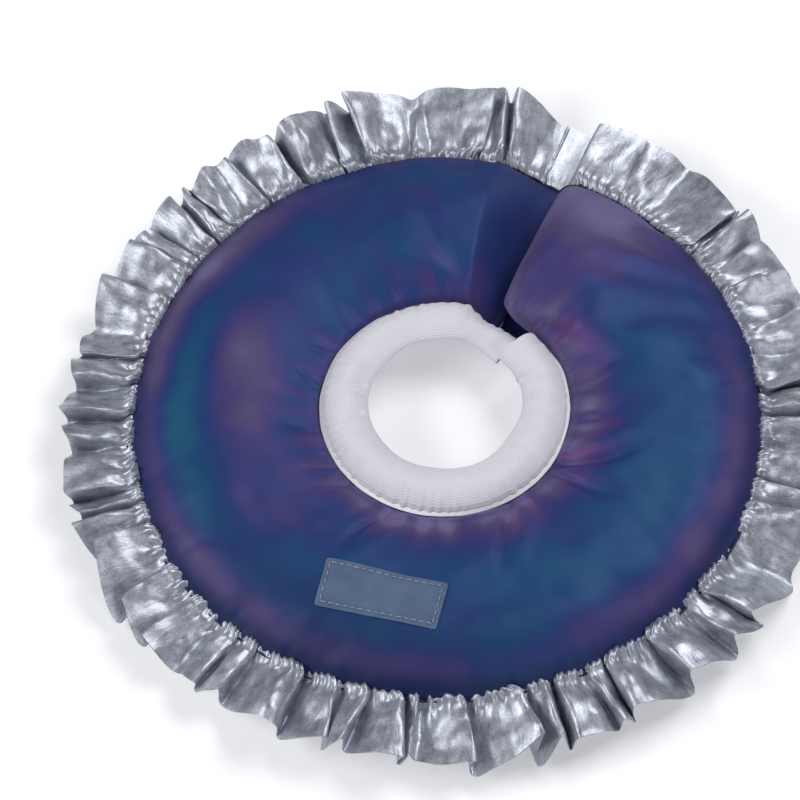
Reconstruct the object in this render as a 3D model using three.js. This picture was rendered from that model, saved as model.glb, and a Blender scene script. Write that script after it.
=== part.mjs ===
// A soft padded recovery collar: a stuffed fabric ring with a gathered ruffle round its outer seam, a rib-knit neck
// band, a sewn label, and a hook-and-loop overlap where the two ends meet. Millimetres and degrees.
//
// The ring lies on its back, with its axis along +Z and the origin on the surface it rests on. Azimuths turn
// anticlockwise from +X, seen from above. The label is near -Y and the overlap near +Y.

import * as THREE from "three";

// ---------- Driving dimensions ----------

const NECK_HOLE_RADIUS = 33;
const NECK_SEAM_RADIUS = 53;
const OUTER_SEAM_RADIUS = 135;
const RIM_RADIUS = 167;

const PAD_HEIGHT = 36;
const NECK_SEAM_HEIGHT = 22;
const OUTER_SEAM_HEIGHT = 15;

const SHELL_THICKNESS = 1.2;
const GAP = 0.3;

// The ring folds at FOLD, its overlapping end peels up from PEEL.
const FOLD_AZIMUTH = -60;
const PEEL_AZIMUTH = 58;
const FLAP_END_AZIMUTH = 81;
const LEFT_END_AZIMUTH = 79;

// ---------- Sizes that follow from them ----------

const MID_SEAM_HEIGHT = (NECK_SEAM_HEIGHT + OUTER_SEAM_HEIGHT) / 2;
const TOP_RISE = PAD_HEIGHT - MID_SEAM_HEIGHT;
// A little more than the seam's height, so the back is pressed flat where it rests.
const BOTTOM_DROP = MID_SEAM_HEIGHT + 4;
const CROWN_POWER = 0.6;
const FILL_INSET = SHELL_THICKNESS + 2 * GAP;

const STEP = 6;
const FINE_STEP = 3;
const PROFILE_STEPS = 8;
// A joint leaves this much between the pieces on its two sides, in degrees at the neck seam.
const CUT = 0.4;

// The overlap, from the bottom up: tongue, hook tape, loop tape, flap.
const TONGUE_HEIGHT = 3;
const TONGUE_THICKNESS = 2.6;
const TAPE_THICKNESS = 1.2;
const HOOK_TAPE_HEIGHT = TONGUE_HEIGHT + TONGUE_THICKNESS + GAP;
const LOOP_TAPE_HEIGHT = HOOK_TAPE_HEIGHT + TAPE_THICKNESS + GAP;
const FLAP_BOTTOM = LOOP_TAPE_HEIGHT + TAPE_THICKNESS + GAP;
const END_SEAM_HEIGHT = TONGUE_HEIGHT + TONGUE_THICKNESS / 2;
const FLAP_EDGE_HEIGHT = FLAP_BOTTOM + 4;
const LEFT_END_NECK_HEIGHT = END_SEAM_HEIGHT + 2.7;

// The stretches of azimuth over which the ends thin out, and the share of the full swelling that the left end keeps.
const LEFT_FLAT = 2;
const LEFT_TAPER = 14;
const LEFT_FULL_AZIMUTH = LEFT_END_AZIMUTH + LEFT_FLAT + LEFT_TAPER;
const RIGHT_TAPER = 9;
const FLAP_TAPER = 10;
const THINNEST = 0.12;
const NECK_CORNER = { depth: 15, stretch: 15 };
const RIM_CORNER = { depth: 7, stretch: 4 };

// ---------- Materials ----------

const fabric = (color, roughness, metalness = 0) =>
  new THREE.MeshStandardMaterial({ color, roughness, metalness });

const SHELL_FABRIC = fabric(0x2c3f7a, 0.45);
const SILVER_SATIN = fabric(0xa9abb0, 0.35, 0.4);
const RIB_KNIT = fabric(0xe6e6ea, 0.9);
const LABEL_WEAVE = fabric(0x4a6490, 0.7);
const THREAD = fabric(0x1c2238, 0.7);
const LABEL_THREAD = fabric(0x7f93b5, 0.6);
const FIBRE = fabric(0xf2f2f0, 1);
const TAPE = fabric(0x22253a, 0.8);

// ---------- Geometry helpers ----------

const radians = THREE.MathUtils.degToRad;
const lerp = THREE.MathUtils.lerp;
const clamp01 = (value) => THREE.MathUtils.clamp(value, 0, 1);
const smooth = (value, from, to) => {
  const share = clamp01((value - from) / (to - from));
  return share * share * (3 - 2 * share);
};

/** Azimuths from one end to the other, evenly spaced and no further apart than the step. */
function azimuths(from, to, step = STEP) {
  const count = Math.ceil(Math.abs(to - from) / step);
  return Array.from({ length: count + 1 }, (_, i) => lerp(from, to, i / count));
}

/** A point of the ring, from its radius, azimuth and height. */
function ringPoint(radius, azimuth, height) {
  const angle = radians(azimuth);
  return new THREE.Vector3(radius * Math.cos(angle), radius * Math.sin(angle), height);
}

/**
 * A closed solid from a grid of outlines. Each outline has an upper and a lower row with the same number of points.
 * The sweep is capped at both ends, or runs round to its own start.
 */
function loft(outlines, closesOnItself = false) {
  const rowLength = outlines[0].upper.length;
  const ringLength = 2 * rowLength;
  const positions = outlines.flatMap(({ upper, lower }) =>
    [...upper, ...[...lower].reverse()].flatMap((point) => point.toArray()),
  );
  const index = [];
  const quad = (a, b, c, d) => index.push(a, b, c, a, c, d);
  const joins = closesOnItself ? outlines.length : outlines.length - 1;
  for (let i = 0; i < joins; i++) {
    const here = i * ringLength;
    const next = ((i + 1) % outlines.length) * ringLength;
    for (let k = 0; k < ringLength; k++) {
      const after = (k + 1) % ringLength;
      // Twisted patches are split the same way on upper and lower rows, so that nested solids stay clear.
      if (k < rowLength) quad(here + k, here + after, next + after, next + k);
      else quad(here + after, next + after, next + k, here + k);
    }
  }
  if (!closesOnItself) {
    const last = (outlines.length - 1) * ringLength;
    for (let k = 0; k < rowLength - 1; k++) {
      const opposite = ringLength - 1 - k;
      quad(k, opposite, opposite - 1, k + 1);
      quad(last + k, last + k + 1, last + opposite - 1, last + opposite);
    }
  }
  const geometry = new THREE.BufferGeometry();
  geometry.setAttribute("position", new THREE.Float32BufferAttribute(positions, 3));
  geometry.setIndex(signedVolume(positions, index) < 0 ? index.reverse() : index);
  geometry.computeVertexNormals();
  return geometry;
}

/** The volume inside a closed mesh: negative when its faces point in. */
function signedVolume(positions, index) {
  const [a, b, c] = [new THREE.Vector3(), new THREE.Vector3(), new THREE.Vector3()];
  let volume = 0;
  for (let i = 0; i < index.length; i += 3) {
    a.fromArray(positions, 3 * index[i]);
    b.fromArray(positions, 3 * index[i + 1]);
    c.fromArray(positions, 3 * index[i + 2]);
    volume += a.dot(b.cross(c)) / 6;
  }
  return volume;
}

/** A thread or cord along a list of points, with a hexagonal section that stands square to the Z axis. */
function cord(points, radius, closesOnItself = false) {
  const count = points.length;
  const outlines = points.map((point, i) => {
    const before = points[closesOnItself ? (i + count - 1) % count : Math.max(i - 1, 0)];
    const after = points[closesOnItself ? (i + 1) % count : Math.min(i + 1, count - 1)];
    const along = after.clone().sub(before).normalize();
    const across = new THREE.Vector3(0, 0, 1).cross(along).normalize();
    const up = along.clone().cross(across);
    const corner = (degrees) =>
      point
        .clone()
        .addScaledVector(across, radius * Math.cos(radians(degrees)))
        .addScaledVector(up, radius * Math.sin(radians(degrees)));
    return { upper: [150, 90, 30].map(corner), lower: [210, 270, 330].map(corner) };
  });
  return loft(outlines, closesOnItself);
}

const collar = new THREE.Group();

function addMesh(name, geometry, material) {
  const mesh = new THREE.Mesh(geometry, material);
  mesh.name = name;
  collar.add(mesh);
  return mesh;
}

// ---------- The stuffed ring ----------

// How far the pad's surfaces swell away from its seams, from the neck seam (0) to the outer seam (1).
const crown = (share) => Math.pow(Math.sin(Math.PI * share), CROWN_POWER);

// Points across the pad, closer together near its seams.
const PROFILE_SHARES = Array.from(
  { length: PROFILE_STEPS + 1 },
  (_, i) => (1 - Math.cos((Math.PI * i) / PROFILE_STEPS)) / 2,
);

/** What the pad's section is like at one azimuth of the left side, which thins towards its end under the flap. */
function leftStation(azimuth) {
  const share = smooth(azimuth, LEFT_END_AZIMUTH + LEFT_FLAT, LEFT_FULL_AZIMUTH);
  return {
    azimuth,
    inner: NECK_SEAM_RADIUS,
    outer: OUTER_SEAM_RADIUS,
    neckSeam: lerp(LEFT_END_NECK_HEIGHT, NECK_SEAM_HEIGHT, share),
    outerSeam: lerp(END_SEAM_HEIGHT, OUTER_SEAM_HEIGHT, share),
    fullness: lerp(THINNEST, 1, share),
    floor: 0,
  };
}

/** The right side keeps its thickness, and its back rises to the flap's bottom where the tongue lies under it. */
function rightStation(azimuth) {
  return {
    azimuth,
    inner: NECK_SEAM_RADIUS,
    outer: OUTER_SEAM_RADIUS,
    neckSeam: NECK_SEAM_HEIGHT,
    outerSeam: OUTER_SEAM_HEIGHT,
    fullness: 1,
    floor: FLAP_BOTTOM * smooth(azimuth, PEEL_AZIMUTH - RIGHT_TAPER, PEEL_AZIMUTH),
  };
}

/** The flap has rounded corners, the larger one at the neck, and an edge that thins to its end seam. */
function flapStation(azimuth) {
  // How far along the last stretch of the flap this azimuth is, and how far a round corner has drawn in there.
  const roundOff = (stretch) => {
    const share = clamp01((azimuth - FLAP_END_AZIMUTH + stretch) / stretch);
    return 1 - Math.sqrt(1 - 0.98 * share * share);
  };
  const fullness = 1 - 0.96 * roundOff(FLAP_TAPER);
  return {
    azimuth,
    inner: NECK_SEAM_RADIUS + NECK_CORNER.depth * roundOff(NECK_CORNER.stretch),
    outer: OUTER_SEAM_RADIUS - RIM_CORNER.depth * roundOff(RIM_CORNER.stretch),
    neckSeam: lerp(FLAP_EDGE_HEIGHT, NECK_SEAM_HEIGHT, fullness),
    outerSeam: lerp(FLAP_EDGE_HEIGHT, OUTER_SEAM_HEIGHT, fullness),
    fullness,
    floor: FLAP_BOTTOM,
  };
}

/** The pad's upper or lower surface at one station, drawn in from the outside by an inset. */
function padRow(station, side, inset, lift) {
  return PROFILE_SHARES.map((share) => {
    const radius = lerp(station.inner + inset, station.outer - inset, share);
    const seam = lerp(station.neckSeam, station.outerSeam, share);
    const swell = (station.fullness * (side > 0 ? TOP_RISE : BOTTOM_DROP) - inset) * crown(share);
    const height = side > 0 ? seam + swell : Math.max(seam - swell, station.floor + inset);
    return ringPoint(radius, station.azimuth, height + side * lift);
  });
}

/** One of the two fabric panels, from seam to seam. */
const shell = (stations, side) =>
  loft(
    stations.map((station) => ({
      upper: padRow(station, side, 0, GAP / 2),
      lower: padRow(station, side, SHELL_THICKNESS, GAP / 2),
    })),
  );

/** The fibre that fills the space between the panels. */
const fill = (stations) =>
  loft(
    stations.map((station) => ({
      upper: padRow(station, 1, FILL_INSET, GAP),
      lower: padRow(station, -1, FILL_INSET, GAP),
    })),
  );

// ---------- Outer seam and ruffle ----------

const SEAM_CORD_RADIUS = 0.6;
const SEAM_CORD_AT = 1;
const RUFFLE_START = 2;
const RUFFLE_THICKNESS = 1.2;
const RUFFLE_FOLDS = 44;
const RUFFLE_STEPS_PER_FOLD = 5;
const RUFFLE_SHARES = [0, 0.45, 1];
const RUFFLE_SWING = 7;

const outerSeam = (stations) =>
  cord(
    stations.map(({ azimuth, outer, outerSeam: height }) => ringPoint(outer + SEAM_CORD_AT, azimuth, height)),
    SEAM_CORD_RADIUS,
  );

/** The gathered strip: its folds start small at the seam and swing up and down more towards the rim. */
function ruffle(stations) {
  return loft(
    stations.map(({ azimuth, outer, outerSeam: height, floor }) => {
      const fold = Math.sin(radians(RUFFLE_FOLDS * azimuth));
      const swing = Math.min(RUFFLE_SWING, height - floor - RUFFLE_THICKNESS);
      const row = (side) =>
        RUFFLE_SHARES.map((share) => {
          const radius = lerp(outer + RUFFLE_START, outer + RIM_RADIUS - OUTER_SEAM_RADIUS, share);
          const wave = swing * lerp(0.12, 1, share) * fold;
          return ringPoint(radius, azimuth, height + wave + (side * RUFFLE_THICKNESS) / 2);
        });
      return { upper: row(1), lower: row(-1) };
    }),
  );
}

// ---------- Neck band ----------

const BAND_STEPS = 5;
const BAND_EDGE_GAP = 0.5;
const BAND_CROWN = 3.5;
const BAND_RISE = 2.5;
const BAND_EDGE_HALF = 1;
const BAND_SWELL = 1.5;
const BAND_LEFT_END_AZIMUTH = PEEL_AZIMUTH + 4;
// The band's left end dips with the side that it is sewn to.
const BAND_DIP = 7;
const BAND_DIP_STRETCH = 38;
const BAND_EDGE_POWER = 3;

/** The doubled rib-knit band, from the neck seam over a soft crown to the fold at the neck hole. */
function neckBand(from, to, dipOf = () => 0, edgeDropOf = () => 0) {
  const shares = Array.from({ length: BAND_STEPS + 1 }, (_, i) => i / BAND_STEPS);
  const row = (azimuth, side) =>
    shares.map((share) => {
      const radius = lerp(NECK_SEAM_RADIUS - BAND_EDGE_GAP, NECK_HOLE_RADIUS, share);
      const crowned = NECK_SEAM_HEIGHT + BAND_CROWN * Math.sin(Math.PI * Math.pow(share, 0.8));
      const half = BAND_EDGE_HALF + BAND_SWELL * Math.sin(Math.PI * share);
      const sunk = dipOf(azimuth) + edgeDropOf(azimuth) * Math.pow(1 - share, BAND_EDGE_POWER);
      return ringPoint(radius, azimuth, crowned + BAND_RISE * share - sunk + side * half);
    });
  return loft(azimuths(from, to).map((azimuth) => ({ upper: row(azimuth, 1), lower: row(azimuth, -1) })));
}

const leftBandDip = (azimuth) =>
  BAND_DIP * smooth(azimuth, BAND_LEFT_END_AZIMUTH + BAND_DIP_STRETCH, BAND_LEFT_END_AZIMUTH);

/** How much further its outer edge comes down, to the seam of the thinned end. */
const leftBandEdgeDrop = (azimuth) =>
  Math.max(0, NECK_SEAM_HEIGHT - leftBandDip(azimuth) - leftStation(azimuth).neckSeam);

// ---------- Closure: tongue and tapes ----------

const TONGUE_END_AZIMUTH = 60.5;
const TONGUE_MARGIN = 0.5;

/** A flat layer of the overlap: part of a ring between two radii and two azimuths. */
function overlapLayer(inner, outer, from, to, height, thickness) {
  const row = (azimuth, level) => [inner, outer].map((radius) => ringPoint(radius, azimuth, level));
  const outlines = azimuths(from, to, FINE_STEP).map((azimuth) => ({
    upper: row(azimuth, height + thickness),
    lower: row(azimuth, height),
  }));
  return loft(outlines);
}

const TAPES = [
  { place: "neck", inner: 68, outer: 86 },
  { place: "rim", inner: 104, outer: 122 },
];
const TAPE_FROM_AZIMUTH = 62.5;
const TAPE_TO_AZIMUTH = 76;

// ---------- Label ----------

const LABEL = { width: 52, height: 22, radius: 100.3, azimuth: -90.4, turn: 1.5 };
const LABEL_THICKNESS = 0.8;
const LABEL_GAP = 0.5;
const STITCH_MARGIN = 2;
const STITCH_RADIUS = 0.3;

/** Height of the full pad's top surface at a radius. */
function padTop(radius) {
  const share = (radius - NECK_SEAM_RADIUS) / (OUTER_SEAM_RADIUS - NECK_SEAM_RADIUS);
  return lerp(NECK_SEAM_HEIGHT, OUTER_SEAM_HEIGHT, share) + TOP_RISE * crown(share);
}

/** A point of the label's plan, laid on the pad's top surface and lifted from it. */
function labelPoint(x, y, lift) {
  const centre = ringPoint(LABEL.radius, LABEL.azimuth, 0);
  const point = new THREE.Vector3(x, y, 0).applyAxisAngle(new THREE.Vector3(0, 0, 1), radians(LABEL.turn));
  point.add(centre);
  point.z = padTop(Math.hypot(point.x, point.y)) + lift;
  return point;
}

function label() {
  const columns = 10;
  const rows = 5;
  const row = (x, lift) =>
    Array.from({ length: rows + 1 }, (_, k) => labelPoint(x, LABEL.height * (k / rows - 0.5), lift));
  const outlines = Array.from({ length: columns + 1 }, (_, i) => {
    const x = LABEL.width * (i / columns - 0.5);
    return { upper: row(x, LABEL_GAP + LABEL_THICKNESS), lower: row(x, LABEL_GAP) };
  });
  return loft(outlines);
}

/** One closed run of thread, just inside the label's edge and clear of its face. */
function labelStitching() {
  const halfWidth = LABEL.width / 2 - STITCH_MARGIN;
  const halfHeight = LABEL.height / 2 - STITCH_MARGIN;
  const outline = new THREE.Path([
    new THREE.Vector2(-halfWidth, -halfHeight),
    new THREE.Vector2(halfWidth, -halfHeight),
    new THREE.Vector2(halfWidth, halfHeight),
    new THREE.Vector2(-halfWidth, halfHeight),
    new THREE.Vector2(-halfWidth, -halfHeight),
  ]);
  const lift = LABEL_GAP + LABEL_THICKNESS + GAP + STITCH_RADIUS;
  const points = outline.getSpacedPoints(32).slice(0, -1);
  return cord(
    points.map(({ x, y }) => labelPoint(x, y, lift)),
    STITCH_RADIUS,
    true,
  );
}

// ---------- The assembled collar ----------

const leftSweep = [
  ...azimuths(FOLD_AZIMUTH + 360 - CUT / 2, LEFT_FULL_AZIMUTH),
  ...azimuths(LEFT_FULL_AZIMUTH, LEFT_END_AZIMUTH, FINE_STEP).slice(1),
];
const rightSweep = azimuths(FOLD_AZIMUTH + CUT / 2, PEEL_AZIMUTH - CUT / 2);
const flapSweep = azimuths(PEEL_AZIMUTH + CUT / 2, FLAP_END_AZIMUTH, FINE_STEP);
const RUFFLE_STEP = 360 / RUFFLE_FOLDS / RUFFLE_STEPS_PER_FOLD;

// The left ruffle runs on along the tongue, under the end of the flap's ruffle. The fibre stops short of the sewn
// ends by so many stations.
const SIDES = [
  { name: "left", station: leftStation, sweep: leftSweep, unfilled: 2, ruffleEnd: 71 },
  { name: "right", station: rightStation, sweep: rightSweep, unfilled: 0, ruffleEnd: PEEL_AZIMUTH - CUT / 2 },
  { name: "flap", station: flapStation, sweep: flapSweep, unfilled: 1, ruffleEnd: FLAP_END_AZIMUTH - 3 },
];

for (const { name, station, sweep, unfilled, ruffleEnd } of SIDES) {
  const stations = sweep.map(station);
  const filled = sweep.slice(0, sweep.length - unfilled).map(station);
  const gathers = azimuths(sweep[0], ruffleEnd, RUFFLE_STEP).map(station);
  addMesh(`front_shell_${name}`, shell(stations, 1), SHELL_FABRIC);
  addMesh(`back_shell_${name}`, shell(stations, -1), SHELL_FABRIC);
  addMesh(`fibre_fill_${name}`, fill(filled), FIBRE);
  addMesh(`outer_seam_${name}`, outerSeam(gathers.filter((_, i) => i % 3 === 0)), THREAD);
  addMesh(`ruffle_${name}`, ruffle(gathers), SILVER_SATIN);
}

addMesh(
  "neck_band_left",
  neckBand(FOLD_AZIMUTH + 360 - CUT / 2, BAND_LEFT_END_AZIMUTH, leftBandDip, leftBandEdgeDrop),
  RIB_KNIT,
);
addMesh("neck_band_right", neckBand(FOLD_AZIMUTH + CUT / 2, PEEL_AZIMUTH), RIB_KNIT);

addMesh(
  "closing_tongue",
  overlapLayer(
    NECK_SEAM_RADIUS + TONGUE_MARGIN,
    OUTER_SEAM_RADIUS - TONGUE_MARGIN,
    TONGUE_END_AZIMUTH,
    LEFT_END_AZIMUTH - CUT,
    TONGUE_HEIGHT,
    TONGUE_THICKNESS,
  ),
  SHELL_FABRIC,
);

for (const { place, inner, outer } of TAPES) {
  const tape = (height) =>
    overlapLayer(inner, outer, TAPE_FROM_AZIMUTH, TAPE_TO_AZIMUTH, height, TAPE_THICKNESS);
  addMesh(`hook_tape_${place}`, tape(HOOK_TAPE_HEIGHT), TAPE);
  addMesh(`loop_tape_${place}`, tape(LOOP_TAPE_HEIGHT), TAPE);
}

addMesh("label", label(), LABEL_WEAVE);
addMesh("label_stitching", labelStitching(), LABEL_THREAD);

export default collar;
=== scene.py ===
"""Soft Elizabethan collar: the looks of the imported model.

The collar is a ring. Every sewn part is worked out as one strip that runs round the ring, from the
flap's end (about +80 degrees) clockwise, to the left end at about -281 degrees, which the flap covers,
and is then cut where the bodies meet. Azimuths are in degrees, 0 along +X, anticlockwise seen from
above. Sizes are in millimetres until add_mesh turns them into metres.
"""

import math

import bpy
import numpy as np
from mathutils import Matrix, Vector


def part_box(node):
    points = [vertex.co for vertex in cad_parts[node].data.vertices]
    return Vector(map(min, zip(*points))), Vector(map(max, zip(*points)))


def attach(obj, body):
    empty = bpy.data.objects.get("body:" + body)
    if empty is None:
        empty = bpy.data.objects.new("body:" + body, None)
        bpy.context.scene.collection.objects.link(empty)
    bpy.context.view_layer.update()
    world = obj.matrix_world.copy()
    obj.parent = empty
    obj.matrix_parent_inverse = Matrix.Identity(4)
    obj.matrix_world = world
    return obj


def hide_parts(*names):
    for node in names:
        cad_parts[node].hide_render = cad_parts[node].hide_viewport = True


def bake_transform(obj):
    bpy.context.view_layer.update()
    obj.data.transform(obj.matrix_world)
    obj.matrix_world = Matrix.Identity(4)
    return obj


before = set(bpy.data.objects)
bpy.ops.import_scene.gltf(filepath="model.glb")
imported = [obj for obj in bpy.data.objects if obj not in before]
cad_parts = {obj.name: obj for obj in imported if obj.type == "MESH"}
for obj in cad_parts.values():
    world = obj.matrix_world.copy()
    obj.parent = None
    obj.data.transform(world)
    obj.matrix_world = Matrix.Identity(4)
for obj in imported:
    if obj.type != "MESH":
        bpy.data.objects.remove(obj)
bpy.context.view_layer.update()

# ---- sizes, from the frame where it has them
MM = 0.001


def box_mm(node):
    """Lowest and highest corner of a CAD node, in millimetres."""
    lowest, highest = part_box(node)
    return np.array(lowest) / MM, np.array(highest) / MM


OUTER_SEAM_RADIUS = -box_mm("front_shell_left")[0][0]
PAD_TOP = box_mm("front_shell_left")[1][2]
RIM_RADIUS = -box_mm("ruffle_left")[0][0]
NECK_SEAM_RADIUS = 53.0
NECK_HOLE_RADIUS = 33.0
NECK_SEAM_HEIGHT = 22.0
OUTER_SEAM_HEIGHT = 15.0
MID_SEAM_HEIGHT = (NECK_SEAM_HEIGHT + OUTER_SEAM_HEIGHT) / 2
TOP_RISE = PAD_TOP - MID_SEAM_HEIGHT
BOTTOM_DROP = MID_SEAM_HEIGHT + 4
CROWN_POWER = 0.6
PANEL_CLOTH = 0.8

# The closure, where the flap lies on the thin left end.
FLAP_END = 81.0
LEFT_END = -281.0
LEFT_FLAT = 2.0
LEFT_TAPER = 14.0
LEFT_FULL = LEFT_END + LEFT_FLAT + LEFT_TAPER
FLAP_BOTTOM = 8.9
FLAP_EDGE_HEIGHT = FLAP_BOTTOM + 4
PEEL_AZIMUTH = 58.0
RIGHT_TAPER = 9.0
FLAP_TAPER = 10.0
NECK_CORNER = {"depth": 15, "stretch": 15}
RIM_CORNER = {"depth": 7, "stretch": 4}
THINNEST_LEFT = 0.12
THINNEST_FLAP = 0.04
LEFT_END_NECK_HEIGHT = 7.0
LEFT_END_OUTER_HEIGHT = 4.3

# Where the strips are cut: the middle and last parts meet at the ring fold, and the first lies over the flap.
FLAP_CUT = 0.0
FOLD_CUT = -113.0


# ---- small helpers
def smoothstep(values, low, high):
    """0 below low, 1 above high, and a smooth rise between them."""
    share = np.clip((np.asarray(values, float) - low) / (high - low), 0, 1)
    return share * share * (3 - 2 * share)


def lerp(low, high, share):
    """The value that lies at share of the way from low to high."""
    return low + (high - low) * share


def hump(values, middle, reach):
    """1 at middle, falling away smoothly on both sides of it over about reach."""
    return np.exp(-(((values - middle) / reach) ** 2))


def turned_from(azimuth, other):
    """How far azimuth is round from other, between -180 and 180 degrees."""
    return (azimuth - other + 180) % 360 - 180


def plane_xy(azimuth, radius):
    """Plane position from azimuth and radius."""
    angle = np.radians(azimuth)
    return radius * np.cos(angle), radius * np.sin(angle)


def soft_noise(x, y, seed, wavelength, waves=20):
    """Smooth noise of about -1 to 1 over a plane: sine waves in random directions."""
    rng = np.random.default_rng(seed)
    total = np.zeros(np.broadcast(x, y).shape)
    for _ in range(waves):
        direction = rng.uniform(0, 2 * math.pi)
        length = wavelength * rng.uniform(0.6, 1.6)
        along = x * math.cos(direction) + y * math.sin(direction)
        total += np.sin(2 * math.pi * along / length + rng.uniform(0, 2 * math.pi))
    return total * math.sqrt(1.0 / waves)


def round_noise(azimuth, seed, slowest, fastest, waves=8):
    """Smooth noise round the ring, of about -1 to 1, with slowest to fastest waves in a turn."""
    rng = np.random.default_rng(seed)
    total = np.zeros(np.shape(azimuth))
    for _ in range(waves):
        in_a_turn = rng.uniform(slowest, fastest)
        total += np.sin(np.radians(azimuth) * in_a_turn + rng.uniform(0, 2 * math.pi))
    return total * math.sqrt(1.0 / waves)


def on_ring(azimuth, radius, height):
    """Points from azimuth, radius and height."""
    return np.stack(np.broadcast_arrays(*plane_xy(azimuth, radius), height), axis=-1)


def azimuth_of(points, near):
    """Azimuth and radius of points, the azimuth within half a turn of the strip's own."""
    azimuth = np.degrees(np.arctan2(points[..., 1], points[..., 0]))
    azimuth += 360 * np.round((near - azimuth) / 360)
    return azimuth, np.hypot(points[..., 0], points[..., 1])


def grid_normals(grid):
    """Unit normals of a grid of points, upwards where rows run clockwise and columns outwards."""
    along = np.gradient(grid, axis=0)
    across = np.gradient(grid, axis=1)
    normals = np.cross(along, across)
    return normals / np.maximum(np.linalg.norm(normals, axis=-1, keepdims=True), 1e-9)


def finer(grid):
    """The grid with a point between each two, on a smooth curve, in both directions."""
    for axis in (0, 1):
        points = np.moveaxis(grid, axis, 0)
        before = 2 * points[0] - points[1]
        after = 2 * points[-1] - points[-2]
        padded = np.concatenate([before[None], points, after[None]])
        middle = (9 * (padded[1:-2] + padded[2:-1]) - padded[:-3] - padded[3:]) / 16
        out = np.empty((2 * len(points) - 1,) + points.shape[1:])
        out[0::2] = points
        out[1::2] = middle
        grid = np.moveaxis(out, 0, axis)
    return grid


def softened(grid, reach):
    """The grid smoothed along its rows, over about reach rows."""
    taps = np.arange(-3 * reach, 3 * reach + 1)
    weights = np.exp(-0.5 * (taps / reach) ** 2)
    weights /= weights.sum()
    count = len(grid)
    out = np.zeros(grid.shape)
    for tap, weight in zip(taps, weights):
        out += weight * grid[np.clip(np.arange(count) + tap, 0, count - 1)]
    return out


# ---- meshes
def add_mesh(name, vertices, faces, material, vertex_normals=None):
    """A smooth mesh object, from millimetres, that keeps its rest position for the materials."""
    mesh = bpy.data.meshes.new(name)
    mesh.from_pydata((np.asarray(vertices) * MM).tolist(), [], faces)
    mesh.polygons.foreach_set("use_smooth", np.ones(len(mesh.polygons), bool))
    mesh.materials.append(material)
    rest = mesh.attributes.new("rest", "FLOAT_VECTOR", "POINT")
    rest.data.foreach_set("vector", (np.asarray(vertices) * MM).astype(np.float32).ravel())
    if vertex_normals is not None:
        mesh.normals_split_custom_set_from_vertices(vertex_normals.tolist())
    piece = bpy.data.objects.new(name, mesh)
    bpy.context.collection.objects.link(piece)
    return piece


def set_value(piece, name, values):
    """A number for each vertex, for the materials to read."""
    attribute = piece.data.attributes.new(name, "FLOAT", "POINT")
    attribute.data.foreach_set("value", np.asarray(values).astype(np.float32).ravel())


def sheet_faces(rows, columns):
    """Faces of a closed sheet: an outside grid, an inside grid and the four edges between them."""
    index = np.arange(rows * columns).reshape(rows, columns)
    inner = index + rows * columns
    faces = [
        np.stack([index[:-1, :-1], index[1:, :-1], index[1:, 1:], index[:-1, 1:]], -1).reshape(-1, 4),
        np.stack([inner[:-1, :-1], inner[:-1, 1:], inner[1:, 1:], inner[1:, :-1]], -1).reshape(-1, 4),
    ]
    rim = np.concatenate([index[0, :], index[1:, -1], index[-1, -2::-1], index[-2:0:-1, 0]])
    after = np.roll(rim, -1)
    faces.append(np.stack([rim, after, after + rows * columns, rim + rows * columns], -1))
    return np.concatenate(faces).tolist()


def sheet_piece(name, outside, inside, material, rows=slice(None), values=None):
    """A closed sheet between two grids, or those rows of it, shaded as part of the whole grid."""
    out_normals = grid_normals(outside)
    in_normals = -grid_normals(inside)
    if np.mean(np.sum((outside - inside) * out_normals, axis=-1)) < 0:
        out_normals, in_normals = -out_normals, -in_normals
    out_part, in_part = outside[rows], inside[rows]
    vertices = np.concatenate([out_part.reshape(-1, 3), in_part.reshape(-1, 3)])
    normals = np.concatenate([out_normals[rows].reshape(-1, 3), in_normals[rows].reshape(-1, 3)])
    faces = sheet_faces(*out_part.shape[:2])
    first = vertices[faces[0]]
    facing = np.dot(np.cross(first[1] - first[0], first[3] - first[0]), normals[faces[0][0]])
    if facing < 0:
        faces = [face[::-1] for face in faces]
    piece = add_mesh(name, vertices, faces, material, normals)
    for key, grid in (values or {}).items():
        part = grid[rows].ravel()
        set_value(piece, key, np.concatenate([part, part]))
    return piece


def tube(path, radius, sides=10):
    """Vertices and faces of a closed tube along a path of points."""
    along = np.gradient(path, axis=0)
    along /= np.linalg.norm(along, axis=1, keepdims=True)
    up = np.array([0.0, 0.0, 1.0])
    side = np.cross(along, up)
    side /= np.linalg.norm(side, axis=1, keepdims=True)
    over = np.cross(side, along)
    turn = np.linspace(0, 2 * math.pi, sides, endpoint=False)
    rings = path[:, None] + radius * (
        side[:, None] * np.cos(turn)[None, :, None] + over[:, None] * np.sin(turn)[None, :, None]
    )
    rows = len(path)
    faces = []
    for row in range(rows - 1):
        for column in range(sides):
            following = (column + 1) % sides
            low, high = row * sides, (row + 1) * sides
            faces.append((low + column, low + following, high + following, high + column))
    faces.append(tuple(range(sides))[::-1])
    faces.append(tuple((rows - 1) * sides + column for column in range(sides)))
    return rings.reshape(-1, 3), faces


# ---- the pad's shape before filling
# Just under 1, so that the rounding never turns quite square to the flap's end.
ROUNDEST = 0.98


def flap_round_off(azimuth, stretch):
    """0 away from the flap's end, rising like the side of a circle over the last stretch of it."""
    share = np.clip((azimuth - (FLAP_END - stretch)) / stretch, 0, 1)
    return 1 - np.sqrt(1 - ROUNDEST * share * share)


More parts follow.
